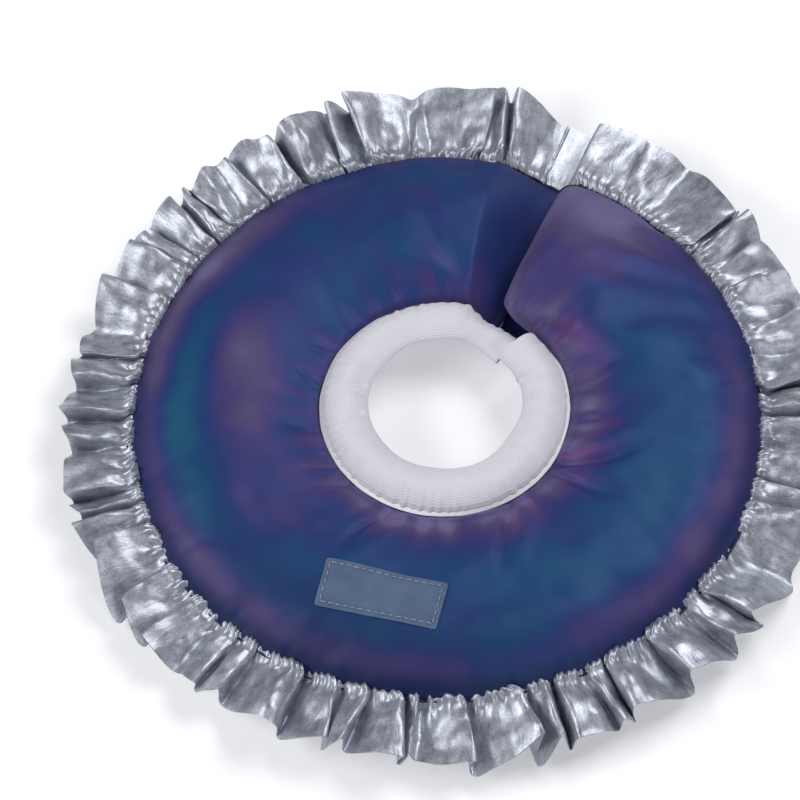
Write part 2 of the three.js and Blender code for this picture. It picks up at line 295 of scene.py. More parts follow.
def pad_station(azimuth):
    """The pad's section at each azimuth of the strip: radii, seam heights, fullness and floor."""
    to_left = 1 - smoothstep(azimuth, LEFT_END + LEFT_FLAT, LEFT_FULL)
    near_flap = flap_round_off(azimuth, FLAP_TAPER)
    fullness = (1 - (1 - THINNEST_FLAP) * near_flap) * lerp(1, THINNEST_LEFT, to_left)
    neck_height = lerp(NECK_SEAM_HEIGHT, FLAP_EDGE_HEIGHT, near_flap)
    outer_height = lerp(OUTER_SEAM_HEIGHT, FLAP_EDGE_HEIGHT, near_flap)
    return {
        "neck": NECK_SEAM_RADIUS + NECK_CORNER["depth"] * flap_round_off(azimuth, NECK_CORNER["stretch"]),
        "outer": OUTER_SEAM_RADIUS - RIM_CORNER["depth"] * flap_round_off(azimuth, RIM_CORNER["stretch"]),
        "neck_height": lerp(neck_height, LEFT_END_NECK_HEIGHT, to_left),
        "outer_height": lerp(outer_height, LEFT_END_OUTER_HEIGHT, to_left),
        "fullness": fullness,
        "floor": FLAP_BOTTOM * smoothstep(azimuth, PEEL_AZIMUTH - RIGHT_TAPER, PEEL_AZIMUTH),
    }


def pad_surfaces(azimuth, share):
    """Top and bottom grids of the pad before it is filled, rows round the ring, columns outwards."""
    station = {key: value[:, None] for key, value in pad_station(azimuth).items()}
    share = share[None, :]
    crown = np.sin(math.pi * share) ** CROWN_POWER
    radius = lerp(station["neck"], station["outer"], share)
    seam = lerp(station["neck_height"], station["outer_height"], share)
    top = seam + station["fullness"] * TOP_RISE * crown
    bottom = np.maximum(station["floor"], seam - station["fullness"] * BOTTOM_DROP * crown)
    return (
        on_ring(azimuth[:, None], radius, top),
        on_ring(azimuth[:, None], radius, bottom),
    )


# ---- filling the pad with a cloth simulation
FILL_STEP = 1.0
FILL_COLUMNS = 25
FILL_FRAMES = 20
FILL_PRESSURE = 4.0
# Blender's shrink factor: below 0, the cloth is larger than the shape it starts from.
EXTRA_CLOTH = -0.06
MOST_MOVED = 5.0
CLOTH_SETTINGS = {
    "quality": 6,
    "mass": 0.15,
    "tension_stiffness": 12,
    "compression_stiffness": 12,
    "shear_stiffness": 4,
    "bending_stiffness": 0.02,
    "use_pressure": True,
    "uniform_pressure_force": FILL_PRESSURE,
    "shrink_min": EXTRA_CLOTH,
}
# Azimuths over which the cloth is held more and more, towards the flap's end.
HELD_AT_FLAP = (66, 76)
# Azimuths over which the filling's movement dies out, towards the flap's end.
CALM_AT_FLAP = (52, 72)
SHARE_EASE = 0.55


def eased_shares(count):
    """Shares from 0 to 1, closer together at both seams."""
    even = np.linspace(0, 1, count)
    return lerp(even, 0.5 - 0.5 * np.cos(math.pi * even), SHARE_EASE)


def bag_faces(index, columns):
    """Faces of the closed bag: its sides, and both ends closed between top and bottom."""
    rows, around = index.shape
    after = np.roll(index, -1, axis=1)
    faces = np.stack([index[:-1], index[1:], after[1:], after[:-1]], -1).reshape(-1, 4).tolist()
    for row in (0, rows - 1):
        for column in range(columns - 1):
            below = (around - column) % around
            next_below = around - column - 1
            face = [index[row, column], index[row, column + 1], index[row, next_below], index[row, below]]
            if column == 0:
                face = face[:3]
            elif column == columns - 2:
                face = [face[0], face[1], face[3]]
            faces.append(face)
    return faces


def held_weights(azimuth, around, columns):
    """How firmly each point of the bag is held: its seams, its ends and what lies on the tongue."""
    held = np.zeros((len(azimuth), around))
    held[:, [0, columns - 1]] = 1
    held[[0, 1, -2, -1]] = 1
    taper = np.maximum(
        1 - smoothstep(azimuth, LEFT_END + 4, LEFT_FULL), smoothstep(azimuth, *HELD_AT_FLAP)
    )
    held = np.maximum(held, taper[:, None])
    underneath = np.arange(around) >= columns
    held[np.ix_(azimuth > PEEL_AZIMUTH - RIGHT_TAPER, underneath)] = 1
    return held


def blown_up(loop, faces, held):
    """The bag's points after air has filled it."""
    mesh = bpy.data.meshes.new("filling")
    mesh.from_pydata((loop.reshape(-1, 3) * MM).tolist(), [], faces)
    mesh.update()
    bag = bpy.data.objects.new("filling", mesh)
    bpy.context.collection.objects.link(bag)
    pins = bag.vertex_groups.new(name="held")
    for vertex, weight in enumerate(held.ravel()):
        if weight > 0:
            pins.add([vertex], float(weight), "REPLACE")
    cloth = bag.modifiers.new("cloth", "CLOTH")
    cloth.settings.vertex_group_mass = pins.name
    for key, value in CLOTH_SETTINGS.items():
        setattr(cloth.settings, key, value)
    cloth.settings.effector_weights.gravity = 0
    cloth.point_cache.frame_start = 1
    cloth.point_cache.frame_end = FILL_FRAMES
    for moment in range(1, FILL_FRAMES + 1):
        bpy.context.scene.frame_set(moment)
    depsgraph = bpy.context.evaluated_depsgraph_get()
    moved = np.empty(loop.size)
    bag.evaluated_get(depsgraph).data.vertices.foreach_get("co", moved)
    bpy.data.objects.remove(bag)
    bpy.context.scene.frame_set(1)
    return moved.reshape(loop.shape) / MM


def filled(top, bottom, azimuth):
    """The two grids after air has filled them: cloth with pressure, its seams and thin ends held."""
    rows, columns = top.shape[:2]
    loop = np.concatenate([top, bottom[:, -2:0:-1]], axis=1)
    around = loop.shape[1]
    index = np.arange(rows * around).reshape(rows, around)
    moved = blown_up(loop, bag_faces(index, columns), held_weights(azimuth, around, columns))
    step = moved - loop
    for _ in range(2):
        step = (np.roll(step, 1, 1) + 2 * step + np.roll(step, -1, 1)) / 4
        step[1:-1] = (step[:-2] + 2 * step[1:-1] + step[2:]) / 4
    calm = smoothstep(azimuth, LEFT_FULL - 8, LEFT_FULL + 22)
    step *= (calm * (1 - smoothstep(azimuth, *CALM_AT_FLAP)))[:, None, None]
    length = np.linalg.norm(step, axis=-1, keepdims=True)
    step *= MOST_MOVED * np.tanh(length / MOST_MOVED) / np.maximum(length, 1e-9)
    loop = loop + step
    top = loop[:, :columns]
    bottom = np.concatenate([loop[:, :1], loop[:, :columns - 2:-1]], axis=1)
    return top, bottom


# ---- creases
def groove(azimuth, radius, start, end, width, skew=0.0):
    """1 along a radial line from start to end, (azimuth, radius) each, fading across it and at its ends.

    It widens from 0.8 to 1.6 of width on its way, and skew bows it sideways, in degrees.
    """
    share = np.clip((radius - start[1]) / (end[1] - start[1]), -0.2, 1.3)
    inside = np.clip(share, 0, 1)
    line = lerp(start[0], end[0], share) + skew * np.sin(math.pi * inside)
    across = np.radians(azimuth - line) * radius / (width * lerp(0.8, 1.6, inside))
    fade = smoothstep(share, -0.15, 0.08) * (1 - smoothstep(share, 0.35, 1.15))
    return np.exp(-across * across) * fade


STRIP_DEGREES = FLAP_END - LEFT_END
NECK_GATHERS = 96
OUTER_GATHERS = 120
# Gathers off the neck seam are longer where the photo shows them so, in this part of the ring.
LONG_GATHERS = (-70, 40)
# Beside each deep crease the cloth stands up, this far round and this share of the depth.
BESIDE_AT_START = 7
BESIDE_AT_END = 5
BESIDE_RISE = 0.45
# The creases fade into both seams as this power of a half wave.
CREASE_POWER = 0.35
# How much of the creases the back panel has, and how far round they are moved on it.
BACK_CREASES = 0.5
BACK_CREASES_ROUND = 5
# The deep creases that the photo shows, each from (azimuth, radius) to (azimuth, radius), width and depth.
DEEP_CREASES = (
    ((-17.0, 53.0), (-3.0, 88.0), 2.4, 4.6),
    ((-21.0, 56.0), (-20.0, 90.0), 1.9, 2.2),
    ((-46.0, 55.0), (-60.0, 90.0), 2.2, 2.6),
    ((-98.0, 54.0), (-106.0, 88.0), 1.9, 2.0),
    ((5.0, 53.0), (13.0, 82.0), 1.8, 1.2),
    ((25.0, 53.0), (31.0, 82.0), 2.0, 1.0),
    ((45.0, 53.0), (51.0, 80.0), 2.0, 1.0),
    ((-34.0, 53.0), (-37.0, 78.0), 1.7, 1.1),
    ((-70.0, 53.0), (-72.0, 76.0), 1.7, 0.9),
    ((-85.0, 53.0), (-87.0, 72.0), 1.6, 0.7),
    ((-120.0, 53.0), (-128.0, 78.0), 2.0, 0.9),
    ((-150.0, 53.0), (-156.0, 76.0), 2.2, 0.7),
    ((22.0, 135.0), (15.0, 110.0), 2.4, 1.2),
    ((-1.0, 135.0), (-5.0, 114.0), 2.2, 0.8),
    ((-132.0, 135.0), (-127.0, 112.0), 2.4, 0.7),
)


def creases(azimuth, radius):
    """How far the top sinks at each point: gathers off both seams, deep creases and slow lumps."""
    rng = np.random.default_rng(11)
    depth = np.zeros(radius.shape)
    for gather in range(NECK_GATHERS):
        at = FLAP_END - STRIP_DEGREES * (gather + rng.uniform(0.1, 0.9)) / NECK_GATHERS
        length = rng.uniform(5, 24) * (1.35 if LONG_GATHERS[0] < at < LONG_GATHERS[1] else 0.8)
        lean = rng.normal(0, 3)
        deep = rng.uniform(0.25, 0.95)
        wide = rng.uniform(0.9, 1.8)
        start, end = (at, NECK_SEAM_RADIUS - 1), (at + lean, NECK_SEAM_RADIUS + length)
        depth += deep * groove(azimuth, radius, start, end, wide)
    for gather in range(OUTER_GATHERS):
        at = FLAP_END - STRIP_DEGREES * (gather + rng.uniform(0.1, 0.9)) / OUTER_GATHERS
        length = rng.uniform(3, 13)
        deep = rng.uniform(0.15, 0.5)
        start, end = (at, OUTER_SEAM_RADIUS + 1), (at + rng.normal(0, 1), OUTER_SEAM_RADIUS - length)
        depth += deep * groove(azimuth, radius, start, end, rng.uniform(1.2, 2.2))
    for start, end, wide, deep in DEEP_CREASES:
        depth += deep * groove(azimuth, radius, start, end, wide, skew=-2.0)
        beside = (start[0] + BESIDE_AT_START, start[1]), (end[0] + BESIDE_AT_END, end[1])
        depth -= BESIDE_RISE * deep * groove(azimuth, radius, *beside, wide * 1.6)
    x, y = plane_xy(azimuth, radius)
    depth += 0.7 * soft_noise(x, y, 5, 46)
    depth += 0.14 * soft_noise(x, y, 6, 17)
    return depth


def pad_grids():
    """The finished outside of the front and back panels, and the azimuth of each row."""
    azimuth = np.arange(FLAP_END, LEFT_END - FILL_STEP / 2, -FILL_STEP)
    share = eased_shares(FILL_COLUMNS)
    top, bottom = pad_surfaces(azimuth, share)
    top, bottom = filled(top, bottom, azimuth)
    top, bottom = finer(top), finer(bottom)
    azimuth = np.linspace(FLAP_END, LEFT_END, len(top))
    share = np.interp(np.linspace(0, 1, top.shape[1]), np.linspace(0, 1, FILL_COLUMNS), share)
    held = np.sin(math.pi * share)[None, :] ** CREASE_POWER * pad_station(azimuth)["fullness"][:, None]
    for grid, strength, moved_round in ((top, 1.0, 0), (bottom, -BACK_CREASES, BACK_CREASES_ROUND)):
        at, radius = azimuth_of(grid, azimuth[:, None])
        sink = strength * creases(at + moved_round, radius) * held
        normals = grid_normals(grid)
        grid -= normals * np.sign(normals[..., 2:]) * sink[..., None]
    floor = pad_station(azimuth)["floor"][:, None]
    bottom[..., 2] = np.maximum(bottom[..., 2], floor + 0.02)
    top[..., 2] = np.maximum(top[..., 2], bottom[..., 2] + 0.05)
    top[:, [0, -1]] = bottom[:, [0, -1]] = (top[:, [0, -1]] + bottom[:, [0, -1]]) / 2
    return top, bottom, azimuth


def cut_rows(azimuth):
    """Rows of the three parts of a strip: over the flap, over the ring fold and the rest."""
    flap_cut = int(np.argmin(abs(azimuth - FLAP_CUT)))
    fold_cut = int(np.argmin(abs(azimuth - FOLD_CUT)))
    return {
        "flap": slice(0, flap_cut + 1),
        "right": slice(flap_cut, fold_cut + 1),
        "left": slice(fold_cut, None),
    }


def inset(grid, thickness, upwards):
    """The grid moved inwards by the cloth's thickness."""
    normals = grid_normals(grid)
    normals *= np.sign(np.median(normals[..., 2])) * (1 if upwards else -1)
    return grid - normals * thickness


def bend_over(piece):
    """Bakes the piece's place into its mesh."""
    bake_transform(piece)


def settle(piece, part):
    """Puts the left part of a strip on the left side's body, and bakes the other parts' place into their
    mesh.
    """
    if part == "left":
        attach(piece, "left_side")
    elif part == "right":
        bend_over(piece)
    else:
        bend_over(piece)


# ---- material helpers
def srgb(red, green, blue):
    """A colour on the screen, 0 to 255, as linear light."""
    values = np.array([red, green, blue]) / 255
    linear = np.where(values <= 0.04045, values / 12.92, ((values + 0.055) / 1.055) ** 2.4)
    return (*linear.tolist(), 1.0)


class Nodes:
    """Builds one material's node tree a line at a time."""

    def __init__(self, name):
        self.material = bpy.data.materials.new(name)
        self.material.use_nodes = True
        self.tree = self.material.node_tree
        self.shader = self.tree.nodes["Principled BSDF"]

    def add(self, kind, inputs=None, **settings):
        node = self.tree.nodes.new(kind)
        for key, value in settings.items():
            setattr(node, key, value)
        for key, value in (inputs or {}).items():
            self.feed(node.inputs[key], value)
        return node

    def feed(self, socket, value):
        if isinstance(value, bpy.types.NodeSocket):
            self.tree.links.new(value, socket)
        else:
            socket.default_value = value

    def set(self, **values):
        for key, value in values.items():
            self.feed(self.shader.inputs[key.replace("_", " ")], value)

    def rest(self):
        """The place on the piece, which stays with it as it bends."""
        return self.add("ShaderNodeAttribute", attribute_name="rest").outputs["Vector"]

    def value(self, name):
        """A number stored on the mesh."""
        return self.add("ShaderNodeAttribute", attribute_name=name).outputs["Fac"]

    def maths(self, operation, first, second=0.0, clamp=False):
        node = self.add("ShaderNodeMath", operation=operation, use_clamp=clamp)
        self.feed(node.inputs[0], first)
        self.feed(node.inputs[1], second)
        return node.outputs[0]

    def noise(self, per_metre, detail=3.0, roughness=0.55, distortion=0.0, at=None):
        inputs = {
            "Vector": at or self.rest(),
            "Scale": per_metre,
            "Detail": detail,
            "Roughness": roughness,
            "Distortion": distortion,
        }
        return self.add("ShaderNodeTexNoise", inputs).outputs["Fac"]

    def on_cloth(self, along, out):
        """The place on the flat cloth, scaled along its seam and out from it."""
        scaled_along = self.maths("MULTIPLY", self.value("cloth_along"), along)
        scaled_out = self.maths("MULTIPLY", self.value("cloth_out"), out)
        return self.add("ShaderNodeCombineXYZ", {"X": scaled_along, "Y": scaled_out}).outputs[0]

    def ramp(self, value, *stops):
        node = self.add("ShaderNodeValToRGB", {"Fac": value})
        elements = node.color_ramp.elements
        while len(elements) < len(stops):
            elements.new(0.5)
        for element, (position, colour) in zip(elements, stops):
            element.position = position
            element.color = colour
        return node.outputs["Color"]

    def scaled(self, value, low, high, new_low, new_high):
        node = self.add("ShaderNodeMapRange")
        for socket, number in zip(node.inputs, (value, low, high, new_low, new_high)):
            self.feed(socket, number)
        return node.outputs[0]

    def spread(self, noise, low, high):
        """The usual range of a noise, spread from low to high."""
        return self.scaled(noise, 0.3, 0.7, low, high)

    def mix(self, share, first, second, blend="MIX"):
        node = self.add("ShaderNodeMix", data_type="RGBA", blend_type=blend)
        self.feed(node.inputs[0], share)
        self.feed(node.inputs[6], first)
        self.feed(node.inputs[7], second)
        return node.outputs[2]

    def bump(self, height, distance, strength=1.0, under=None):
        inputs = {"Height": height, "Distance": distance, "Strength": strength}
        if under is not None:
            inputs["Normal"] = under
        return self.add("ShaderNodeBump", inputs).outputs["Normal"]


# ---- materials
def shell_material():
    """Dark iridescent satin: teal to blue to purple along pad_colour's phase, which holds painted iridescent
    sheen, with painted magenta sheen beside creases and painted shade.
    """
    nodes = Nodes("shell_fabric")
    slow = nodes.spread(nodes.noise(22, 2.0), -0.05, 0.05)
    streaks = nodes.spread(nodes.noise(60, 3.0, distortion=0.6), -0.03, 0.03)
    phase = nodes.maths("ADD", nodes.maths("ADD", nodes.value("phase"), slow), streaks, clamp=True)
    colour = nodes.ramp(
        phase,
        (0.00, srgb(26, 92, 112)),
        (0.18, srgb(24, 84, 118)),
        (0.38, srgb(22, 66, 116)),
        (0.54, srgb(38, 56, 116)),
        (0.70, srgb(66, 58, 116)),
        (0.85, srgb(84, 74, 116)),
        (1.00, srgb(114, 104, 150)),
    )
    colour = nodes.mix(nodes.value("magenta"), colour, srgb(108, 62, 128))
    weave = nodes.noise(2600, 2.0)
    nodes.set(
        # The painted shade stored on the mesh darkens the base colour.
        Base_Color=nodes.mix(1.0, colour, nodes.value("shade"), "MULTIPLY"),
        Metallic=0.2,
        Roughness=nodes.spread(nodes.noise(90, 3.0), 0.5, 0.6),
        Specular_IOR_Level=0.28,
        Sheen_Weight=0.06,
        Sheen_Roughness=0.4,
        Sheen_Tint=srgb(150, 130, 215),
        Normal=nodes.bump(weave, 0.00012, 0.5),
    )
    return nodes.material


def satin_material():
    """Silver satin: a mottled, streaky shine that runs from the seam to the rim, painted into its colour as
    painted sheen.
    """
    nodes = Nodes("silver_satin")
    streaks = nodes.noise(1.0, 3.0, 0.6, 0.8, at=nodes.on_cloth(0.22, 0.08))
    grain = nodes.noise(1500, 2.0, 0.7)
    blotches = nodes.noise(180, 3.0, 0.6)
    shine = 0.0
    for pattern, weight in ((streaks, 0.35), (grain, 0.35), (blotches, 0.3)):
        shine = nodes.maths("ADD", nodes.maths("MULTIPLY", pattern, weight), shine)
    # Painted sheen: streaks and blotches, with the cloth's grain, lighten and darken the base colour.
    colour = nodes.ramp(
        shine,
        (0.36, srgb(134, 139, 152)),
        (0.50, srgb(178, 182, 193)),
        (0.64, srgb(214, 217, 226)),
    )
    dent = nodes.bump(streaks, 0.001, 0.3)
    nodes.set(
        Base_Color=colour,
        Metallic=0.65,
        Roughness=nodes.spread(blotches, 0.35, 0.47),
        Normal=nodes.bump(grain, 0.0002, 0.4, under=dent),
    )
    return nodes.material


def knit_material():
    """White rib knit: ribs run round the neck, fine stitches across them, with painted shade in the grooves
    between the ribs.
    """
    nodes = Nodes("rib_knit")
    ribs = nodes.maths("SINE", nodes.maths("MULTIPLY", nodes.value("rib"), 2 * math.pi))
    stitches = nodes.maths("SINE", nodes.maths("MULTIPLY", nodes.value("stitch"), 2 * math.pi))
    height = nodes.maths("ADD", ribs, nodes.maths("MULTIPLY", stitches, 0.35))
    fuzz = nodes.bump(nodes.noise(2400, 3.0), 0.0002, 0.35)
    # Painted shade: the colour is darker in the grooves and lighter on the raised ribs.
    painted_rib_shade = nodes.scaled(ribs, -1, 1, 0, 1)
    colour = nodes.ramp(painted_rib_shade, (0.0, srgb(212, 211, 220)), (1.0, srgb(228, 227, 233)))
    nodes.set(
        Base_Color=colour,
        Roughness=0.9,
        Sheen_Weight=0.3,
        Sheen_Roughness=0.6,
        Normal=nodes.bump(height, 0.0001, 0.35, under=fuzz),
    )
    return nodes.material


def label_material():
    """Grey-blue woven label with a fine plain weave."""
    nodes = Nodes("label_weave")
    threads = {"Vector": nodes.rest(), "Scale": 900.0, "Distortion": 1.0}
    warp = nodes.add("ShaderNodeTexWave", threads, bands_direction="X")
    weft = nodes.add("ShaderNodeTexWave", threads, bands_direction="Y")
    weave = nodes.maths("MULTIPLY", warp.outputs["Fac"], weft.outputs["Fac"])
    worn = nodes.noise(120, 4.0)
    colour = nodes.ramp(worn, (0.25, srgb(74, 96, 130)), (0.75, srgb(94, 116, 148)))
    nodes.set(
        Base_Color=nodes.mix(nodes.maths("MULTIPLY", weave, 0.35), colour, srgb(58, 74, 104)),
        Roughness=0.7,
        Sheen_Weight=0.2,
        Normal=nodes.bump(weave, 0.00015, 0.8),
    )
    return nodes.material


def thread_material(name, dark, light):
    """Twisted sewing thread."""
    nodes = Nodes(name)
    colour = nodes.ramp(nodes.noise(900, 2.0), (0.3, dark), (0.7, light))
    nodes.set(Base_Color=colour, Roughness=0.6, Normal=nodes.bump(nodes.noise(4000, 2.0), 0.0001, 0.6))
    return nodes.material


def tape_material(name, dark, light, per_metre, depth):
    """Hook or loop tape: matt nylon with a fine nap."""
    nodes = Nodes(name)
    nap = nodes.noise(per_metre, 3.0, 0.7)
    colour = nodes.ramp(nap, (0.3, dark), (0.7, light))
    nodes.set(Base_Color=colour, Roughness=0.85, Sheen_Weight=0.3, Normal=nodes.bump(nap, depth, 0.8))
    return nodes.material


MATERIALS = {
    "shell": shell_material(),
    "satin": satin_material(),
    "knit": knit_material(),
    "label": label_material(),
    "seam": thread_material("seam_thread", srgb(20, 22, 44), srgb(36, 38, 66)),
    "label_thread": thread_material("label_thread", srgb(120, 134, 160), srgb(168, 178, 198)),
    "hook": tape_material("hook_tape", srgb(16, 18, 30), srgb(40, 42, 58), 1500, 0.0004),
    "loop": tape_material("loop_tape", srgb(22, 24, 40), srgb(60, 62, 84), 2200, 0.0006),
}


# ---- camera numbers the colours need too
CAMERA_AZIMUTH = 18.4
CAMERA_ELEVATION = 58.6
CAMERA_ROLL = 3.8
CAMERA_DISTANCE = 1.3
FRAME_WIDTH = 0.3478
# Where the ring's middle lies in the picture, right of and below its centre, in metres at the ring.
RING_RIGHT = 0.0197
RING_DOWN = 0.0061


def camera_axes():
    """The directions from the ring to the camera, and to the right and the top of the picture."""
    azimuth, elevation = math.radians(CAMERA_AZIMUTH), math.radians(CAMERA_ELEVATION)
    back = np.array(
        [
            math.sin(azimuth) * math.cos(elevation),
            -math.cos(azimuth) * math.cos(elevation),
            math.sin(elevation),
        ]
    )
    level = np.array([math.cos(azimuth), math.sin(azimuth), 0.0])
    over = np.cross(back, level)
    roll = math.radians(CAMERA_ROLL)
    right = level * math.cos(roll) - over * math.sin(roll)
    up = level * math.sin(roll) + over * math.cos(roll)
    return back, right, up


# ---- the pad's panels
# Soft patches of colour: azimuth, radius, reach round the ring in degrees, reach outwards in mm, shift.
COLOUR_PATCHES = (
    (-158, 113, 28, 10, -0.34),
    (168, 110, 22, 10, -0.24),
    (-165, 127, 34, 6, 0.20),
    (154, 121, 20, 12, 0.38),
    (-128, 129, 18, 6, 0.24),
    (-104, 128, 22, 8, 0.16),
    (-160, 88, 30, 16, 0.22),
    (112, 122, 34, 14, -0.22),
    (-125, 100, 18, 20, 0.08),
    (178, 93, 22, 18, 0.28),
    (68, 120, 16, 22, 0.42),
    (64, 84, 14, 24, 0.2),
    (25, 64, 34, 10, 0.28),
    (-45, 63, 42, 12, 0.1),
    (-100, 61, 20, 7, 0.22),
    (8, 126, 26, 7, 0.22),
    (-32, 127, 26, 8, 0.34),
    (-84, 129, 22, 6, 0.18),
    (22, 104, 20, 18, -0.10),
    (-12, 98, 26, 20, -0.14),
    (-60, 98, 26, 18, -0.14),
    (-104, 92, 14, 12, -0.06),
)


# Painted iridescent sheen: where cloth that faces the camera lies on the colour ramp, and how much further
# cloth seen on edge lies.
PHASE_FACING = 0.38
PHASE_TURNED = 0.55
# The ragged fringe of purple round the neck seam: its strength, its reach and how much the reach varies.
FRINGE = 0.24
FRINGE_REACH = 11
FRINGE_RAGGED = 6
FRINGE_LEAST = 4
# Painted magenta sheen shows on the sides of the gathers, out to the second radius and fully inside the
# first.
MAGENTA = 0.5
MAGENTA_RADII = (62, 92)
# Painted shade: the cloth is darker beside its seams: how much, and over how far.
PAINTED_SHADE_AT_RIM = (0.35, 3.5)
PAINTED_SHADE_AT_NECK = (0.25, 3.0)
# Painted shade on one side of the pad, towards the rim.
# The side that is darker in the photo towards the rim: its azimuth, its reach in degrees and how dark.
PAINTED_SHADE_SIDE = (-98.0, 40.0, 0.28)
PAINTED_SHADE_SIDE_RADII = (96, 120)


def pad_colour(grid, azimuth):
    """Where each point lies on the shell's colour ramp, partly by painted iridescent sheen, how light it is
    under painted shade, and how much painted magenta sheen it has.
    """
    at, radius = azimuth_of(grid, azimuth[:, None])
    to_camera = camera_axes()[0]
    normals = grid_normals(grid)
    normals *= np.sign(normals[..., 2:])
    even = softened(normals, 6)
    even /= np.linalg.norm(even, axis=-1, keepdims=True)
    # Painted iridescent sheen: the hue shifts with how far the cloth turns from the camera.
    phase = PHASE_FACING + PHASE_TURNED * (1 - np.clip(even @ to_camera, 0, 1))
    for patch, out, wide, deep, shift in COLOUR_PATCHES:
        phase += shift * hump(turned_from(at, patch), 0, wide) * hump(radius, out, deep)
    reach = np.maximum(FRINGE_REACH + FRINGE_RAGGED * round_noise(at, 22, 14, 46), FRINGE_LEAST)
    phase += FRINGE * hump(radius, NECK_SEAM_RADIUS, reach)
    phase += 0.04 * soft_noise(grid[..., 0], grid[..., 1], 21, 34)

    # Painted magenta sheen on the sides of the gathers.
    uneven = softened(normals, 4)
    angle = np.radians(at)
    sideways = abs(uneven[..., 1] * np.cos(angle) - uneven[..., 0] * np.sin(angle))
    magenta = MAGENTA * smoothstep(sideways, 0.06, 0.4)
    magenta *= smoothstep(-radius, -MAGENTA_RADII[1], -MAGENTA_RADII[0])
    magenta *= smoothstep(at, LEFT_FULL, LEFT_FULL + 12)
    magenta *= smoothstep(-at, 4 - FLAP_END, 22 - FLAP_END)

    # Painted shade beside the outer seam and the neck seam.
    at_rim = PAINTED_SHADE_AT_RIM[0] * hump(radius, OUTER_SEAM_RADIUS, PAINTED_SHADE_AT_RIM[1])
    at_neck = PAINTED_SHADE_AT_NECK[0] * hump(radius, NECK_SEAM_RADIUS, PAINTED_SHADE_AT_NECK[1])
    # Painted shade on one side of the pad, towards the rim.
    dark_azimuth, dark_reach, darkest = PAINTED_SHADE_SIDE
    dark = darkest * hump(turned_from(at, dark_azimuth), 0, dark_reach) * smoothstep(radius, *PAINTED_SHADE_SIDE_RADII)
    shade = (1 - at_rim - at_neck) * (1 - dark)
    return {"phase": np.clip(phase, 0, 1), "shade": np.clip(shade, 0.1, 1), "magenta": magenta}


def make_pad():
    """Front and back panels in three parts each. Returns the front's grid and its rows' azimuths."""
    top, bottom, azimuth = pad_grids()
    parts = cut_rows(azimuth)
    for side, grid, upwards in (("front", top, True), ("back", bottom, False)):
        values = pad_colour(grid, azimuth)
        inner = inset(grid, PANEL_CLOTH, upwards)
        for part, rows in parts.items():
            name = f"{side}_panel_{part}"
            piece = sheet_piece(name, grid, inner, MATERIALS["shell"], rows, values)
            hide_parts(f"{side}_shell_{part}")
            if side == "front":
                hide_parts(f"fibre_fill_{part}")
            settle(piece, part)
    return top, azimuth


# ---- the ruffle
RUFFLE_START = 78.0
RUFFLE_END = -289.0
RUFFLE_STEPS_PER_DEGREE = 7
RUFFLE_COLUMNS = 27
RUFFLE_PLEATS = 58
PLEAT_HEIGHT = 7.2
RUFFLE_CLOTH = 0.6
# Gathers beside the seam: waves in a turn, height, the share of the way out where they are highest and
# their reach from there, how they lean on the way out, and the seed and range of their unevenness.
SEAM_GATHERS = (
    (150, 1.0, 0.14, 0.18, 2.2, 32, (15, 60)),
    (380, 0.8, 0.02, 0.17, 0.0, 33, (30, 90)),
)
# The share of a pleat's cloth that is its face; the rest goes back underneath.
PLEAT_FACE = 0.7
# Two pleats whose folds face each other stop short of one another.
MEETING_OVERLAP = -0.1
# The photo shows the ruffle standing up at the back of the neck.
BACK_AZIMUTH = 98.0
BACK_SPREAD = 48.0
BACK_RISE = 12.0
BACK_REACH = 3.0
RUFFLE_CREASE = 0.6
# Millimetres round the ruffle in a degree, for noise that is as long as it is wide.
MM_IN_A_DEGREE = 2.6
# Half the width of the sharp fold across each pleat, as a share of its face.
RIDGE_WIDTH = 0.34
# How far the gathers stand up beside the seam, and how far the cloth under a pleat is drawn in.
HEADING_RISE = 2.6
TUCK = 3.0
# At the seam the cloth follows its pleat by this share only, because the seam gathers it evenly.
PLEATED_AT_SEAM = 0.62
# How much of its height the ruffle has on the flap, and at the left end under the flap.
ROOM_ON_FLAP = 0.62
ROOM_AT_LEFT_END = 0.1
RUFFLE_CLEARANCE = 0.2
RUFFLE_REACH = RIM_RADIUS - OUTER_SEAM_RADIUS - 0.5


def ruffle_pleats():
    """Where the pleats start along the strip, and each one's height, overlap, slant and corner."""
    rng = np.random.default_rng(4)
    widths = rng.uniform(0.45, 1.75, RUFFLE_PLEATS)
    starts = np.concatenate([[0], np.cumsum(widths)]) / widths.sum()
    sides = np.repeat(rng.choice([-1.0, 1.0], RUFFLE_PLEATS // 2 + 1), 2)[:RUFFLE_PLEATS]
    overlap = rng.uniform(0.05, 0.36, RUFFLE_PLEATS)
    meeting = np.flatnonzero((sides[:-1] > 0) & (sides[1:] < 0))
    overlap[meeting] = overlap[meeting + 1] = MEETING_OVERLAP
    return {
        "starts": RUFFLE_START + (RUFFLE_END - RUFFLE_START) * starts,
        "slant": np.concatenate([[0], rng.uniform(-1.6, 1.6, RUFFLE_PLEATS - 1), [0]]),
        "height": np.clip(widths, 0.55, 1.45) * rng.uniform(0.7, 1.15, RUFFLE_PLEATS),
        "side": sides,
        "overlap": overlap,
        "bulge": rng.uniform(0.1, 0.55, RUFFLE_PLEATS),
        "ridge_at_seam": rng.uniform(0.3, 0.7, RUFFLE_PLEATS),
        "ridge_at_rim": rng.uniform(0.15, 0.85, RUFFLE_PLEATS),
        "ridge": rng.choice([-1.0, 1.0], RUFFLE_PLEATS) * rng.uniform(1.8, 4.2, RUFFLE_PLEATS),
        "corner": rng.choice([-1.0, 1.0], RUFFLE_PLEATS) * rng.uniform(2.0, 8.0, RUFFLE_PLEATS),
    }


